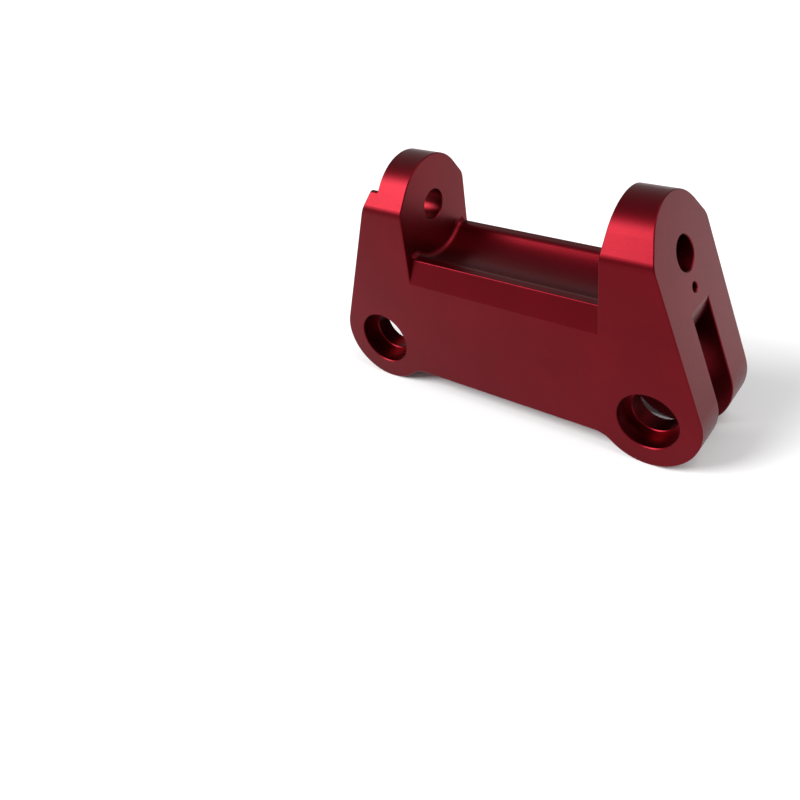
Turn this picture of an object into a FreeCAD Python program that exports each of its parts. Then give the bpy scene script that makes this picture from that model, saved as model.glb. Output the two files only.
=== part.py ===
"""Two-eared clevis bracket, milled from one block of aluminium.

Frame, in millimetres: X runs along the bracket, with the nut pocket at -X; Y runs from the
front face to the back face; Z is up. The origin is at the middle of the length and of the
depth, on the surface that the two feet stand on.
"""
import FreeCAD, Part
import math
import os

# Body block
BODY_DEPTH = 40.0
FOOT_SPACING = 113.0
FOOT_RADIUS = 18.7
END_LEAN = 19.6
BELLY_HEIGHT = 7.5
BELLY_BLEND_RADIUS = 10.0

# Ears and the pin that joins them
EAR_GAP = 76.4
EAR_RADIUS = 18.6
FLANK_LEAN = 36.2
SHOULDER_RADIUS = 5.5
PIN_HEIGHT = 72.1
PIN_BORE_DIAMETER = 11.0

# Saddle between the ears
SWING_CLEARANCE = 1.0
TROUGH_DEPTH = 5.4
LAND_BLEND_RADIUS = 3.0
LIP_DEPTH = 2.8
LIP_HEIGHT = 9.1
WALL_FILLET_RADIUS = 2.1

# Nut pocket in the -X ear, and the dowel hole in the +X end face
NUT_EAR_THICKNESS = 12.1
NUT_POCKET_DIAMETER = 30.0
STEP_ANGLE = 34.0
STEP_CORNER_RADIUS = 1.5
DOWEL_HOLE_DIAMETER = 3.2
DOWEL_HOLE_DROP = 11.0
DOWEL_HOLE_DEPTH = 8.0
DRILL_POINT_ANGLE = 118.0

# Pivot hole through each foot, with a bearing seat in each cheek
SEAT_DIAMETER = 22.0
SEAT_DEPTH = 6.5
AXLE_HOLE_DIAMETER = 16.4

# Slot in each foot, where a link swings about the pivot hole
SLOT_WIDTH = 12.6
LINK_SWING_RADIUS = 17.7
NOSE_RADIUS = 17.1
SLOT_TOP_DROP = 17.0

# Rounding of the outer edges, and chamfer at the mouths of the holes and slots
EDGE_BREAK = 0.4
MOUTH_CHAMFER = 0.3

NODE = "bracket"
X_AXIS = FreeCAD.Vector(1, 0, 0)
Y_AXIS = FreeCAD.Vector(0, 1, 0)
Z_AXIS = FreeCAD.Vector(0, 0, 1)
ORIGIN = FreeCAD.Vector(0, 0, 0)

# Sizes that follow from the ones above
HALF_DEPTH = BODY_DEPTH / 2
HALF_GAP = EAR_GAP / 2
FOOT_X = FOOT_SPACING / 2
EAR_TOP = PIN_HEIGHT + EAR_RADIUS
TROUGH_RADIUS = EAR_RADIUS + SWING_CLEARANCE
LAND_HEIGHT = PIN_HEIGHT - TROUGH_RADIUS + TROUGH_DEPTH
DOWEL_HOLE_HEIGHT = PIN_HEIGHT - DOWEL_HOLE_DROP
NUT_FACE_X = -(HALF_GAP + NUT_EAR_THICKNESS)
LEAN = math.radians(END_LEAN)
FLANK = math.radians(FLANK_LEAN)
STEP = math.radians(STEP_ANGLE)
LIP_TURN = math.atan2(LIP_HEIGHT, LIP_DEPTH)
LIP_Y = HALF_DEPTH - LIP_DEPTH - EDGE_BREAK * math.tan(LIP_TURN / 2)
MARGIN = BODY_DEPTH / 4
SMOOTH_ANGLE = math.radians(3)
PROBE_LENGTH = EDGE_BREAK / 8
FLAT = MOUTH_CHAMFER / 8


def end_x(height):
    """Half-length of the body at a height on its leaning end faces."""
    rise = height - FOOT_RADIUS
    return FOOT_X + FOOT_RADIUS / math.cos(LEAN) - rise * math.tan(LEAN)


def slope_height(distance):
    """Height of the saddle's sloping lip at a distance from mid-depth."""
    return LAND_HEIGHT - (distance - HALF_DEPTH + LIP_DEPTH) * math.tan(LIP_TURN)


REACH = end_x(0) + MARGIN


def front_point(x, z):
    return FreeCAD.Vector(x, 0, z)


def side_point(y, z):
    return FreeCAD.Vector(0, y, z)


def line(start, end):
    return Part.LineSegment(start, end).toShape()


def arc(start, middle, end):
    return Part.Arc(start, middle, end).toShape()


def arc_about(centre, radius, first_angle, last_angle, point):
    """Arc in a plane given by its point function, with angles in radians."""
    angles = [first_angle, (first_angle + last_angle) / 2, last_angle]
    ends = [point(centre[0] + radius * math.cos(a), centre[1] + radius * math.sin(a)) for a in angles]
    return arc(*ends)


def prism(edges, direction, low, high):
    """Solid swept along an axis from low to high, with the closed outline of the edges."""
    wire = Part.Wire(Part.__sortEdges__(edges))
    face = Part.Face(wire)
    face.translate(direction * low)
    return face.extrude(direction * (high - low))


def mirrored(edges, normal):
    return edges + [edge.mirror(ORIGIN, normal) for edge in edges]


def front_outline():
    """Outline seen from the front: feet, belly between them and leaning ends."""
    blend_z = BELLY_HEIGHT - BELLY_BLEND_RADIUS
    drop = FOOT_RADIUS - blend_z
    reach = FOOT_RADIUS + BELLY_BLEND_RADIUS
    run = math.sqrt(reach ** 2 - drop ** 2)
    blend_x = FOOT_X - run
    contact = math.atan2(drop, run)
    foot = (FOOT_X, FOOT_RADIUS)
    blend = (blend_x, blend_z)
    top = EAR_TOP + MARGIN
    foot_end = front_point(FOOT_X + FOOT_RADIUS * math.cos(LEAN), FOOT_RADIUS * (1 + math.sin(LEAN)))
    top_end = front_point(end_x(top), top)
    half = [
        line(front_point(0, BELLY_HEIGHT), front_point(blend_x, BELLY_HEIGHT)),
        arc_about(blend, BELLY_BLEND_RADIUS, math.pi / 2, contact, front_point),
        arc_about(foot, FOOT_RADIUS, contact - math.pi, LEAN, front_point),
        line(foot_end, top_end),
        line(top_end, front_point(0, top)),
    ]
    return mirrored(half, X_AXIS)


def side_outline(top_edges, flank_top):
    """Outline seen from the side: straight faces, rounded shoulders and flanks, closed by top_edges."""
    flank_foot_z = PIN_HEIGHT + (EAR_RADIUS - HALF_DEPTH * math.cos(FLANK)) / math.sin(FLANK)
    setback = SHOULDER_RADIUS * math.tan(FLANK / 2)
    shoulder = (HALF_DEPTH - SHOULDER_RADIUS, flank_foot_z - setback)
    face_end = side_point(HALF_DEPTH, flank_foot_z - setback)
    flank_end = side_point(HALF_DEPTH - setback * math.sin(FLANK), flank_foot_z + setback * math.cos(FLANK))
    half = [
        line(side_point(0, -MARGIN), side_point(HALF_DEPTH, -MARGIN)),
        line(side_point(HALF_DEPTH, -MARGIN), face_end),
        arc_about(shoulder, SHOULDER_RADIUS, 0, FLANK, side_point),
        line(flank_end, flank_top),
    ]
    return mirrored(half + top_edges, Y_AXIS)


def ear_outline():
    """Side outline with the flanks tangent to the round ear top."""
    tangent_point = side_point(EAR_RADIUS * math.cos(FLANK), PIN_HEIGHT + EAR_RADIUS * math.sin(FLANK))
    top = arc_about((0, PIN_HEIGHT), EAR_RADIUS, FLANK, math.pi / 2, side_point)
    return side_outline([top], tangent_point)


def step_outline():
    """Side outline of the -X end, where two steps beside the nut pocket take the place of the ear top."""
    corner_distance = EAR_RADIUS / math.cos(FLANK - STEP)
    step_normal = math.pi / 2 + STEP
    inset = STEP_CORNER_RADIUS / (1 + math.cos(step_normal - FLANK))
    centre_y = corner_distance * math.cos(STEP) - inset * (math.cos(FLANK) + math.cos(step_normal))
    centre_z = PIN_HEIGHT + corner_distance * math.sin(STEP) - inset * (math.sin(FLANK) + math.sin(step_normal))
    corner = arc_about((centre_y, centre_z), STEP_CORNER_RADIUS, FLANK, step_normal, side_point)
    step = line(corner.Vertexes[1].Point, side_point(0, PIN_HEIGHT))
    return side_outline([corner, step], corner.Vertexes[0].Point)


def blank():
    """Outer form of the bracket, before the gap and the holes."""
    front = prism(front_outline(), Y_AXIS, -HALF_DEPTH, HALF_DEPTH)
    ears = prism(ear_outline(), X_AXIS, NUT_FACE_X, REACH)
    steps = prism(step_outline(), X_AXIS, -REACH, NUT_FACE_X)
    return front.common(ears.fuse(steps))


def floor_outline():
    """Outline of the space above the saddle's floor: two lands and the trough about the pin."""
    rise = PIN_HEIGHT - LAND_HEIGHT + LAND_BLEND_RADIUS
    reach = TROUGH_RADIUS + LAND_BLEND_RADIUS
    blend_y = math.sqrt(reach ** 2 - rise ** 2)
    contact = math.atan2(rise, blend_y)
    blend = (blend_y, LAND_HEIGHT - LAND_BLEND_RADIUS)
    top = EAR_TOP + MARGIN
    half = [
        arc_about((0, PIN_HEIGHT), TROUGH_RADIUS, -math.pi / 2, -contact, side_point),
        arc_about(blend, LAND_BLEND_RADIUS, math.pi - contact, math.pi / 2, side_point),
        line(side_point(blend_y, LAND_HEIGHT), side_point(LIP_Y, LAND_HEIGHT)),
        line(side_point(LIP_Y, LAND_HEIGHT), side_point(LIP_Y, top)),
        line(side_point(LIP_Y, top), side_point(0, top)),
    ]
    return mirrored(half, Y_AXIS)


def lip_outline(side):
    """Outline of the space over the rounded, sloping lip along one long side of the saddle."""
    arc_end = side_point(
        side * (LIP_Y + EDGE_BREAK * math.sin(LIP_TURN)),
        LAND_HEIGHT - EDGE_BREAK * (1 - math.cos(LIP_TURN)),
    )
    outer_y = HALF_DEPTH + MARGIN
    top = EAR_TOP + MARGIN
    corners = [
        arc_end,
        side_point(side * outer_y, slope_height(outer_y)),
        side_point(side * outer_y, top),
        side_point(side * LIP_Y, top),
        side_point(side * LIP_Y, LAND_HEIGHT),
    ]
    edges = [line(start, end) for start, end in zip(corners, corners[1:])]
    centre = (side * LIP_Y, LAND_HEIGHT - EDGE_BREAK)
    edges.append(arc_about(centre, EDGE_BREAK, math.pi / 2, math.pi / 2 - side * LIP_TURN, side_point))
    return edges


def is_floor_end(edge):
    """True for the edges where the saddle's floor meets an ear."""
    box = edge.BoundBox
    along_ear = box.XLength < EDGE_BREAK < box.YLength
    return along_ear and box.ZMax < PIN_HEIGHT


def saddle_space():
    """Space above the saddle, with its floor rounded up into both ears between the two lips."""
    space = prism(floor_outline(), X_AXIS, -HALF_GAP, HALF_GAP)
    edges = [edge for edge in space.Edges if is_floor_end(edge)]
    space = space.makeFillet(WALL_FILLET_RADIUS, edges)
    for side in (-1, 1):
        space = space.fuse(prism(lip_outline(side), X_AXIS, -HALF_GAP, HALF_GAP))
    return space


def countersink(diameter, mouth, inward):
    """Small cone that chamfers a round hole; inward points from its mouth into the metal."""
    start = mouth - inward * MOUTH_CHAMFER
    radius = diameter / 2
    return Part.makeCone(radius + 2 * MOUTH_CHAMFER, radius, 2 * MOUTH_CHAMFER, start, inward)


def pin_bore():
    """Bore through both ears, chamfered at the ears' inner faces and at the nut's seat."""
    hole = Part.makeCylinder(PIN_BORE_DIAMETER / 2, 2 * REACH, FreeCAD.Vector(-REACH, 0, PIN_HEIGHT), X_AXIS)
    for mouth_x, inward in ((-HALF_GAP, -X_AXIS), (HALF_GAP, X_AXIS), (NUT_FACE_X, X_AXIS)):
        mouth = FreeCAD.Vector(mouth_x, 0, PIN_HEIGHT)
        hole = hole.fuse(countersink(PIN_BORE_DIAMETER, mouth, inward))
    return hole


def nut_pocket():
    """Round, flat-bottomed pocket for the pin's nut."""
    start = FreeCAD.Vector(-REACH, 0, PIN_HEIGHT)
    return Part.makeCylinder(NUT_POCKET_DIAMETER / 2, REACH + NUT_FACE_X, start, X_AXIS)


def dowel_hole():
    """Blind drilled hole below the pin, square to the bracket's length."""
    radius = DOWEL_HOLE_DIAMETER / 2
    bottom_x = end_x(DOWEL_HOLE_HEIGHT) - DOWEL_HOLE_DEPTH
    point_length = radius / math.tan(math.radians(DRILL_POINT_ANGLE / 2))
    bottom = FreeCAD.Vector(bottom_x, 0, DOWEL_HOLE_HEIGHT)
    barrel = Part.makeCylinder(radius, REACH - bottom_x, bottom, X_AXIS)
    point = Part.makeCone(radius, 0, point_length, bottom, -X_AXIS)
    return barrel.fuse(point)


def pivot_hole(side):
    """Axle hole through one foot, with a bearing seat at each face."""
    axis_start = FreeCAD.Vector(side * FOOT_X, -HALF_DEPTH - MARGIN, FOOT_RADIUS)
    length = BODY_DEPTH + 2 * MARGIN
    hole = Part.makeCylinder(AXLE_HOLE_DIAMETER / 2, length, axis_start, Y_AXIS)
    seat = Part.makeCylinder(SEAT_DIAMETER / 2, MARGIN + SEAT_DEPTH, axis_start, Y_AXIS)
    seat = seat.fuse(countersink(SEAT_DIAMETER, axis_start + Y_AXIS * MARGIN, Y_AXIS))
    seat = seat.fuse(countersink(AXLE_HOLE_DIAMETER, axis_start + Y_AXIS * (MARGIN + SEAT_DEPTH), Y_AXIS))
    return hole.fuse(seat).fuse(seat.mirror(ORIGIN, Y_AXIS))


def link_slot(side):
    """Slot at the end of one foot, with a rounded nose above the link's swing."""
    ceiling = FOOT_RADIUS + LINK_SWING_RADIUS
    round_x = FOOT_X - LINK_SWING_RADIUS
    nose_x = end_x(PIN_HEIGHT - SLOT_TOP_DROP)
    nose = (nose_x - NOSE_RADIUS, ceiling + NOSE_RADIUS)
    corners = [
        front_point(nose_x, nose[1]),
        front_point(nose_x, PIN_HEIGHT),
        front_point(REACH, PIN_HEIGHT),
        front_point(REACH, -MARGIN),
        front_point(round_x, -MARGIN),
        front_point(round_x, ceiling),
        front_point(nose[0], ceiling),
    ]
    edges = [line(start, end) for start, end in zip(corners, corners[1:])]
    edges.append(arc_about(nose, NOSE_RADIUS, 0, -math.pi / 2, front_point))
    space = prism(edges, Y_AXIS, -SLOT_WIDTH / 2, SLOT_WIDTH / 2)
    round_start = FreeCAD.Vector(round_x, 0, -MARGIN)
    round_end = Part.makeCylinder(SLOT_WIDTH / 2, ceiling + MARGIN, round_start, Z_AXIS)
    slot = space.fuse(round_end)
    return slot if side > 0 else slot.mirror(ORIGIN, X_AXIS)


def machined_body():
    """The blank with its gap, holes, pocket and slots cut, and its edges still sharp."""
    body = blank()
    cutters = [saddle_space(), pin_bore(), nut_pocket(), dowel_hole()]
    for side in (-1, 1):
        cutters.append(pivot_hole(side))
        cutters.append(link_slot(side))
    for cutter in cutters:
        body = body.cut(cutter)
    return body.removeSplitter().Solids[0]


def edge_neighbours(solid):
    """Faces beside each edge, by the edge's hash code."""
    neighbours = {}
    for face in solid.Faces:
        for edge in face.Edges:
            neighbours.setdefault(edge.hashCode(), []).append(face)
    return neighbours


def is_outer_corner(edge, faces):
    """True where two faces meet at a corner that stands proud of the metal and isn't countersunk."""
    if len(faces) != 2 or any(isinstance(face.Surface, Part.Cone) for face in faces):
        return False
    middle_parameter = (edge.FirstParameter + edge.LastParameter) / 2
    middle = edge.valueAt(middle_parameter)
    first, second = [face.normalAt(*face.Surface.parameter(middle)) for face in faces]
    if first.getAngle(second) < SMOOTH_ANGLE:
        return False
    inward = first.cross(edge.tangentAt(middle_parameter))
    probe = faces[0].Surface.parameter(middle + inward * PROBE_LENGTH)
    if not faces[0].isPartOfDomain(*probe):
        inward = -inward
    return inward.dot(second) < 0


def outer_corners(solid, is_wanted):
    """Outer corners of the solid that a test picks out."""
    neighbours = edge_neighbours(solid)
    edges = [edge for edge in solid.Edges if is_wanted(edge)]
    return [edge for edge in edges if is_outer_corner(edge, neighbours[edge.hashCode()])]


def lies_at(low, high, place):
    """True where an extent is one place, on either side of the bracket's middle."""
    return high - low < FLAT and abs(abs(low) - place) < FLAT


def is_mouth(edge):
    """True for the edges of the two slots, and of the holes in the leaning +X end."""
    box = edge.BoundBox
    in_cheek = lies_at(box.YMin, box.YMax, SLOT_WIDTH / 2)
    across_slot = abs(box.YLength - SLOT_WIDTH) < FLAT and box.ZLength < FLAT
    in_end = edge.isClosed() and box.XMin > HALF_GAP and min(box.XLength, box.YLength) > FLAT
    return in_cheek or across_slot or in_end


def is_outline(edge):
    """True for the outline of the front, the back and the ears' inner faces, save the lips' feet."""
    box = edge.BoundBox
    in_face = lies_at(box.YMin, box.YMax, HALF_DEPTH)
    in_ear = lies_at(box.XMin, box.XMax, HALF_GAP)
    lip_foot = lies_at(box.ZMin, box.ZMax, slope_height(HALF_DEPTH))
    return (in_face or in_ear) and not lip_foot


def broken_edges(solid):
    """The solid with its mouths chamfered and its outlines rounded."""
    solid = solid.makeChamfer(MOUTH_CHAMFER, outer_corners(solid, is_mouth))
    return solid.makeFillet(EDGE_BREAK, outer_corners(solid, is_outline))


os.makedirs("parts", exist_ok=True)
bracket = broken_edges(machined_body())
bracket.exportStep(os.path.join("parts", NODE + ".step"))
print(NODE, "solids", len(bracket.Solids), "valid", bracket.isValid(), "volume", round(bracket.Volume, 1))
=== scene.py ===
"""Studio scene for the clevis bracket: red anodised aluminium on a pale floor.

Everything is in metres, in the frame of the CAD model.
"""
import math

import bpy
from mathutils import Matrix, Vector

# Camera, in the CAD frame
LENS_MM = 36.18
SENSOR_MM = 36.0
CAMERA_PLACE = Vector((0.13684, -0.21726, 0.20114))
CAMERA_RIGHT = Vector((0.7840, 0.6040, -0.1431))
CAMERA_UP = Vector((-0.2905, 0.5608, 0.7753))
CLIP_START = 0.01

# Anodised aluminium, with colours in linear light and texture scales per metre
DYE_DEEP = (0.108, 0.0004, 0.0040, 1.0)
DYE_BRIGHT = (0.128, 0.0006, 0.0055, 1.0)
CLOUD_SCALE = 45.0
CLOUD_DETAIL = 3.0
GRAIN_SCALE = 5200.0
SPECKLE_SCALE = 1900.0
FINE_DETAIL = 2.0
NOISE_LOW = 0.3
NOISE_HIGH = 0.7
GRAIN_HEIGHT = 0.00002
GRAIN_STRENGTH = 0.12
ROUGHNESS_LOW = 0.33
ROUGHNESS_HIGH = 0.41
COAT_WEIGHT = 0.12
COAT_ROUGHNESS = 0.32

# Sockets of a colour mix, which share their names with those of its other modes
MIX_FACTOR = 0
MIX_FIRST_COLOUR = 6
MIX_SECOND_COLOUR = 7
MIX_COLOUR_RESULT = 2

# Floor
FLOOR_SIZE = 8.0
FLOOR_COLOUR = (0.90, 0.90, 0.905, 1.0)
FLOOR_ROUGHNESS = 0.9

# Lamps and world
WORLD_STRENGTH = 0.45
KEY_FROM = Vector((-0.56, -0.58, 0.66))
KEY_STRENGTH = 3.6
KEY_WIDTH = math.radians(34)
FILL_PLACE = Vector((0.75, 0.15, 1.25))
FILL_SIZE = 1.1
FILL_WATTS = 9.0
AIM = Vector((0, 0, 0.04))


def add_node(tree, kind, values):
    """A new shader node with its named inputs set."""
    node = tree.nodes.new(kind)
    for name, value in values.items():
        node.inputs[name].default_value = value
    return node


def add_noise(tree, place, scale, detail):
    """Noise texture that is fixed to the metal."""
    noise = add_node(tree, "ShaderNodeTexNoise", {"Scale": scale, "Detail": detail})
    tree.links.new(place.outputs["Object"], noise.inputs["Vector"])
    return noise.outputs["Fac"]


def add_range(tree, value, low, high):
    """Spreads a noise's middle band over a range."""
    spread = {"From Min": NOISE_LOW, "From Max": NOISE_HIGH, "To Min": low, "To Max": high}
    node = add_node(tree, "ShaderNodeMapRange", spread)
    tree.links.new(value, node.inputs["Value"])
    return node.outputs["Result"]


def anodised():
    """Bead-blasted, dyed and sealed aluminium: a satin metal under a thin clear seal."""
    material = bpy.data.materials.new("anodised_red")
    material.use_nodes = True
    tree = material.node_tree
    shader = tree.nodes["Principled BSDF"]
    shader.inputs["Metallic"].default_value = 1.0
    shader.inputs["Coat Weight"].default_value = COAT_WEIGHT
    shader.inputs["Coat Roughness"].default_value = COAT_ROUGHNESS
    place = tree.nodes.new("ShaderNodeTexCoord")

    dye = tree.nodes.new("ShaderNodeMix")
    dye.data_type = "RGBA"
    dye.inputs[MIX_FIRST_COLOUR].default_value = DYE_DEEP
    dye.inputs[MIX_SECOND_COLOUR].default_value = DYE_BRIGHT
    clouds = add_noise(tree, place, CLOUD_SCALE, CLOUD_DETAIL)
    tree.links.new(add_range(tree, clouds, 0.0, 1.0), dye.inputs[MIX_FACTOR])
    tree.links.new(dye.outputs[MIX_COLOUR_RESULT], shader.inputs["Base Color"])

    speckle = add_noise(tree, place, SPECKLE_SCALE, FINE_DETAIL)
    roughness = add_range(tree, speckle, ROUGHNESS_LOW, ROUGHNESS_HIGH)
    tree.links.new(roughness, shader.inputs["Roughness"])

    grain = add_noise(tree, place, GRAIN_SCALE, FINE_DETAIL)
    bump = add_node(tree, "ShaderNodeBump", {"Strength": GRAIN_STRENGTH, "Distance": GRAIN_HEIGHT})
    tree.links.new(grain, bump.inputs["Height"])
    tree.links.new(bump.outputs["Normal"], shader.inputs["Normal"])
    tree.links.new(bump.outputs["Normal"], shader.inputs["Coat Normal"])
    return material


def floor_material():
    """Matt white."""
    material = bpy.data.materials.new("floor_white")
    material.use_nodes = True
    shader = material.node_tree.nodes["Principled BSDF"]
    shader.inputs["Base Color"].default_value = FLOOR_COLOUR
    shader.inputs["Roughness"].default_value = FLOOR_ROUGHNESS
    return material


def add_object(name, data):
    """A new object in the scene that holds the data."""
    made = bpy.data.objects.new(name, data)
    bpy.context.scene.collection.objects.link(made)
    return made


def add_floor():
    """Flat floor that fills the picture."""
    half = FLOOR_SIZE / 2
    corners = [(-half, -half, 0), (half, -half, 0), (half, half, 0), (-half, half, 0)]
    mesh = bpy.data.meshes.new("floor")
    mesh.from_pydata(corners, [], [(0, 1, 2, 3)])
    mesh.materials.append(floor_material())
    add_object("floor", mesh)


def add_camera():
    """Camera above and to the front right of the bracket."""
    camera = add_object("camera", bpy.data.cameras.new("camera"))
    camera.data.lens = LENS_MM
    camera.data.sensor_width = SENSOR_MM
    camera.data.clip_start = CLIP_START
    back = CAMERA_RIGHT.cross(CAMERA_UP)
    turn = Matrix((CAMERA_RIGHT, CAMERA_UP, back)).transposed().to_4x4()
    camera.matrix_world = Matrix.Translation(CAMERA_PLACE) @ turn
    bpy.context.scene.camera = camera


def add_lamp(name, kind, place, strength):
    """Lamp that faces the bracket."""
    lamp = bpy.data.lights.new(name, kind)
    lamp.energy = strength
    turn = (AIM - place).to_track_quat("-Z", "Y").to_matrix().to_4x4()
    add_object(name, lamp).matrix_world = Matrix.Translation(place) @ turn
    return lamp


def add_lighting():
    """Broad key from the front left, overhead fill from the right, and an even pale world."""
    key = add_lamp("key", "SUN", AIM + KEY_FROM, KEY_STRENGTH)
    key.angle = KEY_WIDTH
    fill = add_lamp("fill", "AREA", FILL_PLACE, FILL_WATTS)
    fill.size = FILL_SIZE
    world = bpy.data.worlds.new("studio")
    world.use_nodes = True
    background = world.node_tree.nodes["Background"]
    background.inputs["Color"].default_value = (1.0, 1.0, 1.0, 1.0)
    background.inputs["Strength"].default_value = WORLD_STRENGTH
    bpy.context.scene.world = world


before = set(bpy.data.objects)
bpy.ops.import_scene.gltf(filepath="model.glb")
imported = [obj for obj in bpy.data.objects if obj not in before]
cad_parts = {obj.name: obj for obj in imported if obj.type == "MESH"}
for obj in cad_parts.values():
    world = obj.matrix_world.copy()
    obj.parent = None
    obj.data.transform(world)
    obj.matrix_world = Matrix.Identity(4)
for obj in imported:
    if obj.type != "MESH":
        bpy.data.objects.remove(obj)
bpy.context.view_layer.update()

finish = anodised()
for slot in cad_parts["bracket"].material_slots:
    slot.material = finish
add_floor()
add_camera()
add_lighting()
bpy.context.scene.view_settings.view_transform = "Standard"
